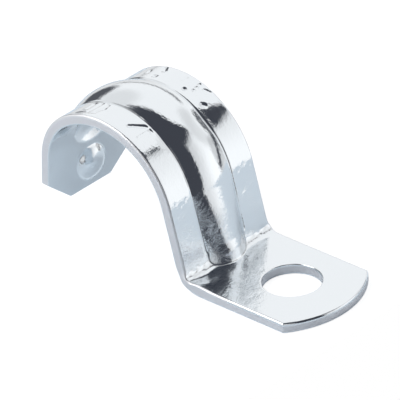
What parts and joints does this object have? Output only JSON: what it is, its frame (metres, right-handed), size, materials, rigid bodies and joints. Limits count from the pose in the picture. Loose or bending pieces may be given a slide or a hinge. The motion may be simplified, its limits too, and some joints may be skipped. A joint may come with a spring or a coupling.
{
  "type": "conduit strap",
  "caption": "One-hole conduit strap that springs onto the conduit: a folded steel strip with a ribbed arch over the conduit, a dimpled free leg and a flat foot with one fixing hole.",
  "frame": {"origin": "middle of the conduit seat: on the axis of the arch's crown arc, halfway across the strip", "axes": "+Z away from the wall, +X from the conduit towards the foot, +Y along the conduit"},
  "size_m": [0.045, 0.0164, 0.0212],
  "materials": {
    "zinc_plated_steel": "bright zinc plating on pressed steel sheet, slightly grained"
  },
  "bodies": {
    "root": {"strap": "zinc_plated_steel"}
  },
  "joints": []
}
